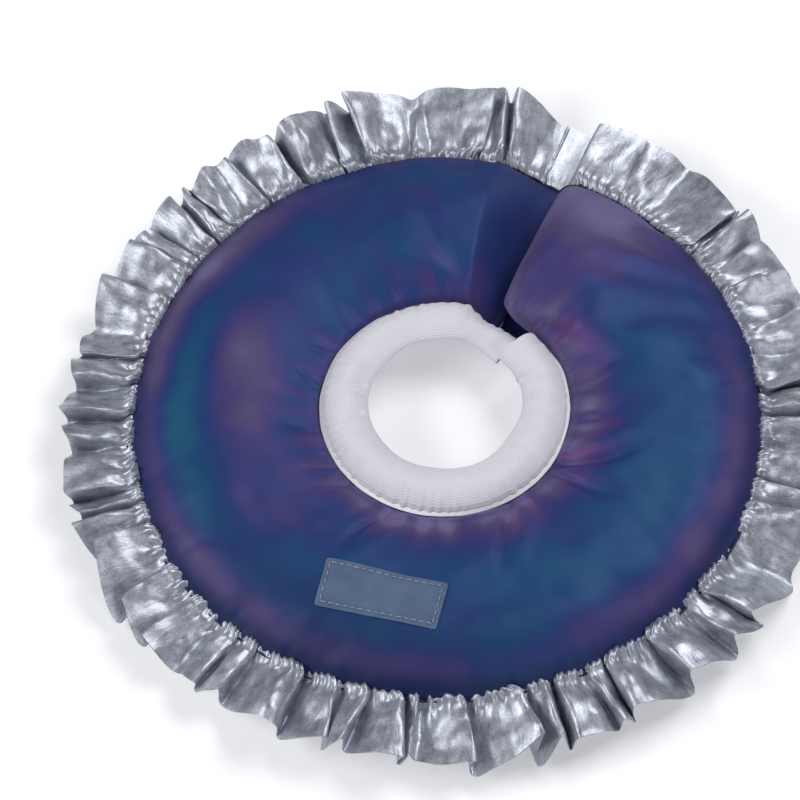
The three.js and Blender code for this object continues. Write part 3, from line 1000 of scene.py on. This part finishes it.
def pleat_numbers(pleats, azimuth, share):
    """Which pleat each point belongs to, and how far through it the point is."""
    place = np.empty((len(azimuth), len(share)))
    for column, out in enumerate(share):
        starts = pleats["starts"] + pleats["slant"] * out
        place[:, column] = np.interp(-azimuth, -starts, np.arange(RUFFLE_PLEATS + 1.0))
    number = np.clip(place.astype(int), 0, RUFFLE_PLEATS - 1)
    part = place - number
    return number, np.where(pleats["side"][number] > 0, part, 1 - part)


def seam_gathers(row, out):
    """The height of the gathers that the seam makes, out to about a third of the ruffle."""
    total = np.zeros(np.broadcast(row, out).shape)
    for in_a_turn, rise, highest, reach, lean, seed, uneven in SEAM_GATHERS:
        phase = np.radians(row) * in_a_turn + 1.6 * round_noise(row, seed, *uneven)
        total += rise * np.sin(phase + lean * out) * hump(out, highest, reach)
    return total


def satin_dents(row, out):
    """Soft dents and thin creases in the satin, away from the seam."""
    along = row * MM_IN_A_DEGREE
    dents = soft_noise(along, out * 24, 34, 14) + 0.22 * soft_noise(along, out * 20, 36, 5)
    crease = hump(soft_noise(along + 9 * out, out * 9, 37, 11), 0, 0.22)
    crease *= smoothstep(out, 0.03, 0.2) * (1 - 0.5 * out)
    return dents * smoothstep(out, 0.02, 0.4) - RUFFLE_CREASE * crease


def ruffle_grid():
    """The ruffle's upper face: rows along the gathered seam, columns from the seam to the rim."""
    count = int(round((RUFFLE_START - RUFFLE_END) * RUFFLE_STEPS_PER_DEGREE)) + 1
    azimuth = np.linspace(RUFFLE_START, RUFFLE_END, count)
    share = np.linspace(0, 1, RUFFLE_COLUMNS) ** 1.15
    row, out = azimuth[:, None], share[None, :]
    pleats = ruffle_pleats()
    number, part = pleat_numbers(pleats, azimuth, share)
    own = {key: values[number] for key, values in pleats.items()}
    face = np.clip(part / PLEAT_FACE, 0, 1)
    under = np.clip((part - PLEAT_FACE) / (1 - PLEAT_FACE), 0, 1)

    moved = face * (1 + own["overlap"]) - under * own["overlap"]
    start = own["starts"] + own["slant"] * out
    finish = pleats["starts"][number + 1] + pleats["slant"][number + 1] * out
    laid = lerp(start, finish, np.where(own["side"] > 0, moved, 1 - moved))
    pleated = lerp(PLEATED_AT_SEAM, 1, smoothstep(out, 0, 0.16))
    angle = lerp(row, laid, pleated)

    wave = 2 * face**0.85 - 2 * under - 1 + own["bulge"] * np.sin(math.pi * face)
    wave += 0.5 * own["bulge"] * np.sin(3 * math.pi * face) * (1 - out)
    grown = 0.2 + 0.8 * (1 - (1 - out) ** 2)
    crest = lerp(own["ridge_at_seam"], own["ridge_at_rim"], out)
    sharp = np.clip(1 - abs(face - crest) / RIDGE_WIDTH, 0, 1)
    rise = own["height"] * PLEAT_HEIGHT * grown * wave
    rise += own["ridge"] * sharp * smoothstep(out, 0.02, 0.5) * (1 - under)
    rise += HEADING_RISE * hump(out, 0.07, 0.08) + satin_dents(row, out)
    at_back = hump(turned_from(row, BACK_AZIMUTH), 0, BACK_SPREAD)
    rise += out * (1.6 * round_noise(row, 35, 3, 9) - 0.6 + BACK_RISE * at_back)

    on_flap = smoothstep(azimuth, PEEL_AZIMUTH - RIGHT_TAPER, PEEL_AZIMUTH)[:, None]
    from_left_end = smoothstep(azimuth, LEFT_END, LEFT_FULL)[:, None]
    room = lerp(1, ROOM_ON_FLAP, on_flap) * lerp(ROOM_AT_LEFT_END, 1, from_left_end)
    height = pad_station(azimuth)["outer_height"][:, None] + rise * room

    corner = own["corner"] * out**2 * (face - 0.5) * (1 - under)
    shortened = 0.05 * RUFFLE_REACH * out * np.clip(wave, -1, 1) ** 2 + TUCK * out * np.sin(math.pi * under)
    radius = OUTER_SEAM_RADIUS + RUFFLE_CLEARANCE + (RUFFLE_REACH + BACK_REACH * at_back) * out
    grid = softened(on_ring(angle, radius - shortened + corner, height), 3)
    grid[..., 2] += seam_gathers(row, out) * room
    cloth_along = np.broadcast_to(np.radians(row) * 2 * RIM_RADIUS, part.shape)
    cloth_out = np.broadcast_to(out * RUFFLE_REACH, part.shape)
    return grid, azimuth, {"cloth_along": cloth_along, "cloth_out": cloth_out}


def make_ruffle():
    """The gathered satin ruffle, in three parts."""
    outside, azimuth, values = ruffle_grid()
    inside = inset(outside, RUFFLE_CLOTH, True)
    for part, rows in cut_rows(azimuth).items():
        piece = sheet_piece(f"satin_ruffle_{part}", outside, inside, MATERIALS["satin"], rows, values)
        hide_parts(f"ruffle_{part}")
        settle(piece, part)


# ---- the outer seam
SEAM_ROLL_RADIUS = 0.65
SEAM_ROLL_OUT = 0.5


def make_outer_seam(top, azimuth):
    """A thin rolled seam between the pad's edge and the ruffle, a little uneven."""
    edge = top[:, -1]
    at, radius = azimuth_of(edge, azimuth)
    radius = radius + SEAM_ROLL_OUT + 0.12 * round_noise(azimuth, 41, 60, 140)
    path = on_ring(at, radius, edge[:, 2] + 0.25 * round_noise(azimuth, 42, 40, 120))
    for part, rows in cut_rows(azimuth).items():
        vertices, faces = tube(path[rows], SEAM_ROLL_RADIUS)
        piece = add_mesh(f"seam_roll_{part}", vertices, faces, MATERIALS["seam"])
        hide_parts(f"outer_seam_{part}")
        settle(piece, part)


# ---- the neck band
BAND_START = 58.0
BAND_END = -298.0
BAND_STEP = 0.5
BAND_COLUMNS = 40
# The band's left end dips under the flap, over this many degrees.
BAND_DIP = 7.0
BAND_DIP_STRETCH = 38
BAND_CROWN = 3.5
BAND_RISE = 2.5
# Half the band's thickness at its edges, and how much more it is in the middle.
BAND_EDGE_HALF = 1.0
BAND_SWELL = 1.5
# The shares of the band's width over which its neck-hole edge and its seam edge are rounded.
BAND_NOSE = 0.1
BAND_HEEL = 0.06
BAND_EDGE_POWER = 3
RIB_PITCH = 1.0
STITCH_PITCH = 0.9
# The radius where the stitches are STITCH_PITCH apart.
STITCH_RADIUS = 42
# Puckers in the knit: azimuth and radius at each end, width and depth.
BAND_PUCKERS = (
    ((35.0, 31.0), (31.0, 44.0), 1.6, 1.5),
    ((15.0, 31.0), (18.0, 42.0), 1.4, 1.4),
    ((-178.0, 36.0), (-172.0, 50.0), 1.5, 1.3),
    ((-156.0, 36.0), (-149.0, 49.0), 1.6, 1.2),
    ((-166.0, 34.0), (-168.0, 44.0), 1.8, -0.8),
    ((24.0, 31.0), (25.0, 43.0), 2.0, -0.9),
    ((-70.0, 44.0), (-74.0, 54.0), 2.0, 0.4),
    ((-100.0, 44.0), (-98.0, 54.0), 2.0, 0.4),
)


def rounded(distance, stretch, least):
    """1, falling like the side of a circle to the root of least, as distance goes over stretch."""
    return np.sqrt(np.clip(1 - np.clip(distance / stretch, 0, 1) ** 2, least, 1))


def band_grids(azimuth):
    """Top and bottom of the folded band, rows round the neck, columns outwards, and its knit's numbers."""
    row, share = azimuth[:, None], np.linspace(0, 1, BAND_COLUMNS)[None, :]
    outer = NECK_SEAM_RADIUS - 0.2 + 0.35 * round_noise(row, 51, 40, 90)
    hole = NECK_HOLE_RADIUS + 0.5 * round_noise(row, 52, 3, 9)
    radius = lerp(outer, hole, share)
    dip = BAND_DIP * (1 - smoothstep(row, BAND_END, BAND_END + BAND_DIP_STRETCH))
    middle = NECK_SEAM_HEIGHT + BAND_CROWN * np.sin(math.pi * share**0.8) + BAND_RISE * share - dip
    middle = middle + 0.35 * soft_noise(row * 0.9, share * 20, 53, 16) * np.sin(math.pi * share)
    edge_drop = np.clip(NECK_SEAM_HEIGHT - dip - pad_station(azimuth)["neck_height"][:, None], 0, None)
    middle = middle - edge_drop * (1 - share) ** BAND_EDGE_POWER
    half = BAND_EDGE_HALF + BAND_SWELL * np.sin(math.pi * share)
    half = half * rounded(share - (1 - BAND_NOSE), BAND_NOSE, 0.02)
    half = half * rounded(BAND_HEEL - share, BAND_HEEL, 0.04)
    sink = np.zeros(radius.shape)
    for start, end, wide, deep in BAND_PUCKERS:
        sink += deep * groove(row, radius, start, end, wide)
    top = on_ring(row, radius, middle + half - sink)
    bottom = on_ring(row, radius, middle - half - 0.4 * sink)
    across = share[:, ::-1] * (NECK_SEAM_RADIUS - NECK_HOLE_RADIUS)
    values = {
        "rib": np.broadcast_to(across / RIB_PITCH, radius.shape),
        "stitch": np.broadcast_to(np.radians(row) * STITCH_RADIUS / STITCH_PITCH, radius.shape),
    }
    return top[:, ::-1], bottom[:, ::-1], values


def make_neck_band():
    """The folded rib-knit band round the neck hole, in two parts."""
    count = int(round((BAND_START - BAND_END) / BAND_STEP)) + 1
    azimuth = np.linspace(BAND_START, BAND_END, count)
    top, bottom, values = band_grids(azimuth)
    cut = int(np.argmin(abs(azimuth - FOLD_CUT)))
    for part, rows in (("right", slice(0, cut + 1)), ("left", slice(cut, None))):
        piece = sheet_piece(f"rib_band_{part}", top, bottom, MATERIALS["knit"], rows, values)
        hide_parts(f"neck_band_{part}")
        settle(piece, part)


# ---- the label
LABEL = {"width": 52.0, "height": 22.0, "radius": 100.3, "azimuth": -90.4, "turn": 1.5}
LABEL_THICKNESS = 0.6
LABEL_CORNER = 1.2
LABEL_LIFT = 0.1
STITCH_MARGIN = 2.0
STITCH_LENGTH = 2.3
STITCH_GAP = 0.9
STITCH_RISE = 0.28
STITCH_POINTS = 7
THREAD_RADIUS = 0.28
LABEL_COLUMNS = 73
LABEL_ROWS = 31
# The label follows the front panel, blurred over this many millimetres.
LABEL_BLUR = 3.0
# How far from the label's middle the panel's points still count, along X and Y.
LABEL_NEAR = (45, 30)


def height_over(top, x, y):
    """Height of the front panel over points of the plane: a weighted mean of the nearest of its points."""
    flat = top.reshape(-1, 3)
    near = flat[(abs(flat[:, 0] - x.mean()) < LABEL_NEAR[0]) & (abs(flat[:, 1] - y.mean()) < LABEL_NEAR[1])]
    off = (near[None, :, 0] - x.ravel()[:, None]) ** 2 + (near[None, :, 1] - y.ravel()[:, None]) ** 2
    weight = np.exp(-off / (2 * LABEL_BLUR**2))
    return (weight @ near[:, 2] / weight.sum(1)).reshape(x.shape)


def label_place(across, down):
    """Plane position of a point of the label, from its own middle."""
    azimuth, turn = math.radians(LABEL["azimuth"]), math.radians(LABEL["azimuth"] + 90 + LABEL["turn"])
    x = LABEL["radius"] * math.cos(azimuth) + across * math.cos(turn) - down * math.sin(turn)
    y = LABEL["radius"] * math.sin(azimuth) + across * math.sin(turn) + down * math.cos(turn)
    return x, y


def make_label(top):
    """The blank woven label, with rounded corners, sunk along its stitching."""
    shares = np.linspace(-1, 1, LABEL_COLUMNS), np.linspace(-1, 1, LABEL_ROWS)
    across, down = np.meshgrid(*shares, indexing="ij")
    half_width, half_height = LABEL["width"] / 2, LABEL["height"] / 2
    x_off, y_off = across * half_width, down * half_height
    over_x = np.clip(abs(x_off) - (half_width - LABEL_CORNER), 0, None) / LABEL_CORNER
    over_y = np.clip(abs(y_off) - (half_height - LABEL_CORNER), 0, None) / LABEL_CORNER
    pull = np.maximum(np.hypot(over_x, over_y), 1e-9) / np.maximum(np.maximum(over_x, over_y), 1e-9)
    pull = np.where(np.minimum(over_x, over_y) > 0, pull, 1.0)
    x_off = np.sign(x_off) * (abs(x_off) - over_x * LABEL_CORNER * (1 - 1 / pull))
    y_off = np.sign(y_off) * (abs(y_off) - over_y * LABEL_CORNER * (1 - 1 / pull))
    x, y = label_place(x_off, y_off)
    base = height_over(top, x, y) + LABEL_LIFT
    inward = np.minimum(half_width - abs(x_off), half_height - abs(y_off))
    puff = 0.35 * smoothstep(inward, 1.5, 4.5) - 0.22 * hump(inward, STITCH_MARGIN, 0.6)
    puff = puff + 0.12 * soft_noise(x, y, 61, 14)
    upper = np.stack([x, y, base + LABEL_THICKNESS + puff], -1)
    lower = np.stack([x, y, base + 0.2 * puff], -1)
    label = sheet_piece("woven_label", upper, lower, MATERIALS["label"])
    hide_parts("label")
    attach(label, "left_side")


def label_stitch(top, start, end, begins):
    """One stitch of the line from start to end, as a tube that bows up out of the label."""
    length = np.linalg.norm(end - start)
    shares = (begins + np.linspace(0, STITCH_LENGTH, STITCH_POINTS)) / length
    flat = start + (end - start) * shares[:, None]
    x, y = label_place(flat[:, 0], flat[:, 1])
    bow = np.sin(math.pi * np.linspace(0, 1, STITCH_POINTS))
    height = height_over(top, x, y) + LABEL_LIFT + LABEL_THICKNESS + 0.07 + STITCH_RISE * bow
    return tube(np.stack([x, y, height], -1), THREAD_RADIUS * (0.6 + 0.4 * bow)[:, None, None], 8)


def make_label_stitches(top):
    """The line of stitches inside the label's edge, as one piece."""
    run_x, run_y = LABEL["width"] / 2 - STITCH_MARGIN, LABEL["height"] / 2 - STITCH_MARGIN
    corners = np.array([(-run_x, -run_y), (run_x, -run_y), (run_x, run_y), (-run_x, run_y)])
    vertices, faces, count = [], [], 0
    for start, end in zip(corners, np.roll(corners, -1, axis=0)):
        length = np.linalg.norm(end - start)
        stitches = int(length // (STITCH_LENGTH + STITCH_GAP))
        for stitch in range(stitches):
            begins = stitch * length / stitches + STITCH_GAP / 2
            stitch_vertices, stitch_faces = label_stitch(top, start, end, begins)
            vertices.append(stitch_vertices)
            faces += [tuple(index + count for index in face) for face in stitch_faces]
            count += len(stitch_vertices)
    piece = add_mesh("label_stitches", np.concatenate(vertices), faces, MATERIALS["label_thread"])
    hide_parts("label_stitching")
    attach(piece, "left_side")


# ---- the closure under the flap
SLAB_STEPS = 61
SLAB_ROLL = 0.6
# The tongue's and tapes' azimuths and heights, from low to high, and the tapes' radii.
TONGUE = {"azimuths": (60.5, 79.3), "radii": (53.5, 134.5), "heights": (3.0, 5.6)}
# The tongue's place on the shell's colour ramp, its painted shade, darker as under the flap, and no magenta.
TONGUE_COLOUR_AND_SHADE = {"phase": 0.55, "shade": 0.8, "magenta": 0.0}
TAPE_AZIMUTHS = (62.5, 76.0)
TAPE_RADII = {"neck": (68.0, 86.0), "rim": (104.0, 122.0)}
HOOK_HEIGHTS = (5.9, 7.1)
LOOP_HEIGHTS = (7.4, 8.6)
# Distance between hooks, which is exact round the ring at TAPE_RADIUS.
HOOK_PITCH = 1.4
TAPE_RADIUS = 77


def closure_slab(name, radii, azimuths, heights, look, texture):
    """A thin slab that follows the ring, with rounded edges and a textured upper or lower face."""
    azimuth = np.linspace(azimuths[1], azimuths[0], SLAB_STEPS)[:, None]
    radius = np.linspace(radii[0], radii[1], SLAB_STEPS)[None, :]
    steps_in = np.minimum(np.arange(SLAB_STEPS), np.arange(SLAB_STEPS)[::-1])
    along = steps_in * math.radians(azimuths[1] - azimuths[0]) * np.mean(radii) / SLAB_STEPS
    across = steps_in * (radii[1] - radii[0]) / SLAB_STEPS
    inward = np.minimum(along[:, None], across[None, :])
    roll = np.sqrt(np.clip(1 - (1 - np.clip(inward / SLAB_ROLL, 0, 1)) ** 2, 0.05, 1))
    middle, half = (heights[0] + heights[1]) / 2, (heights[1] - heights[0]) / 2
    sunk = texture(azimuth, radius)
    upper = on_ring(azimuth, radius, middle + half * roll * (1 - sunk["up"]))
    lower = on_ring(azimuth, radius, middle - half * roll * (1 - sunk["down"]))
    return sheet_piece(name, upper, lower, MATERIALS[look])


def quilted(azimuth, radius):
    """Creases of the tongue, on both faces."""
    wrinkle = 0.12 + 0.1 * soft_noise(*plane_xy(azimuth, radius), 71, 12)
    return {"up": wrinkle, "down": wrinkle}


def hooked(azimuth, radius):
    """Rows of hooks on the upper face."""
    along = np.radians(azimuth) * TAPE_RADIUS
    rows = np.sin(radius * 2 * math.pi / HOOK_PITCH) * np.sin(along * 2 * math.pi / HOOK_PITCH)
    return {"up": 0.3 - 0.3 * np.clip(rows, -0.3, 1), "down": 0 * rows}


def looped(azimuth, radius):
    """Fuzzy loops on the lower face."""
    fuzz = soft_noise(np.radians(azimuth) * TAPE_RADIUS, radius, 72, 1.3)
    return {"up": 0 * fuzz, "down": np.clip(0.15 + 0.15 * fuzz, 0, 0.5)}


def make_tongue():
    """The flat tongue of the left end."""
    tongue = closure_slab("tongue_fabric", **TONGUE, look="shell", texture=quilted)
    for key, number in TONGUE_COLOUR_AND_SHADE.items():
        set_value(tongue, key, np.full(len(tongue.data.vertices), number))
    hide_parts("closing_tongue")
    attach(tongue, "left_side")


def make_tapes():
    """Hook tapes on the tongue, and loop tapes under the flap."""
    for place, radii in TAPE_RADII.items():
        for kind, heights, body, texture in (
            ("hook", HOOK_HEIGHTS, "left_side", hooked),
            ("loop", LOOP_HEIGHTS, "flap", looped),
        ):
            tape = closure_slab(f"{kind}s_{place}", radii, TAPE_AZIMUTHS, heights, kind, texture)
            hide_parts(f"{kind}_tape_{place}")
            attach(tape, body)


# ---- stage, light and camera
FLOOR_SIZE = 8
FLOOR_HEIGHT = -0.0005
LIT_POINT = (0.0, 0.0, 0.02)
# Soft boxes, all in metres and watts: name, place, width and height, power.
SOFTBOXES = (
    ("key", (0.5, 0.55, 1.1), (0.9, 0.65), 9.5),
    ("fill", (-0.9, -0.5, 0.8), (0.9, 0.6), 9),
    ("front", (0.9, -1.0, 0.6), (0.3, 0.8), 4),
)
SKY_COLOUR = (0.80, 0.84, 0.92, 1)
SKY_STRENGTH = 0.18
SENSOR_WIDTH = 36


def make_stage():
    """A pale plain floor."""
    bpy.ops.mesh.primitive_plane_add(size=FLOOR_SIZE, location=(0, 0, FLOOR_HEIGHT))
    floor = bpy.context.object
    floor.name = "floor"
    nodes = Nodes("floor")
    nodes.set(Base_Color=srgb(236, 236, 238), Roughness=0.8)
    nodes.set(Emission_Color=(1, 1, 1, 1), Emission_Strength=0.3)
    floor.data.materials.append(nodes.material)


def add_softbox(name, place, size, power):
    """A rectangular soft light at place that faces the collar."""
    light = bpy.data.lights.new(name, "AREA")
    light.shape = "RECTANGLE"
    light.size, light.size_y = size
    light.energy = power
    lamp = bpy.data.objects.new(name, light)
    lamp.location = place
    lamp.rotation_euler = (Vector(LIT_POINT) - Vector(place)).to_track_quat("-Z", "Y").to_euler()
    bpy.context.collection.objects.link(lamp)


def make_light():
    """Three soft boxes and a dim sky."""
    for softbox in SOFTBOXES:
        add_softbox(*softbox)
    world = bpy.data.worlds.new("studio")
    world.use_nodes = True
    background = world.node_tree.nodes["Background"]
    background.inputs["Color"].default_value = SKY_COLOUR
    background.inputs["Strength"].default_value = SKY_STRENGTH
    bpy.context.scene.world = world
    bpy.context.scene.view_settings.view_transform = "Standard"


def make_camera():
    """The photo's view."""
    back, right, up = camera_axes()
    lens = bpy.data.cameras.new("camera")
    lens.sensor_width = SENSOR_WIDTH
    lens.lens = SENSOR_WIDTH * CAMERA_DISTANCE / FRAME_WIDTH
    camera = bpy.data.objects.new("camera", lens)
    ring = np.array([0.0, 0.0, OUTER_SEAM_HEIGHT * MM])
    place = ring - right * RING_RIGHT + up * RING_DOWN + back * CAMERA_DISTANCE
    turn = Matrix(np.stack([right, up, back], axis=1).tolist()).to_4x4()
    camera.matrix_world = Matrix.Translation(Vector(place.tolist())) @ turn
    bpy.context.collection.objects.link(camera)
    bpy.context.scene.camera = camera


front, pad_azimuth = make_pad()
make_ruffle()
make_outer_seam(front, pad_azimuth)
make_neck_band()
make_label(front)
make_label_stitches(front)
make_tongue()
make_tapes()
make_stage()
make_light()
make_camera()
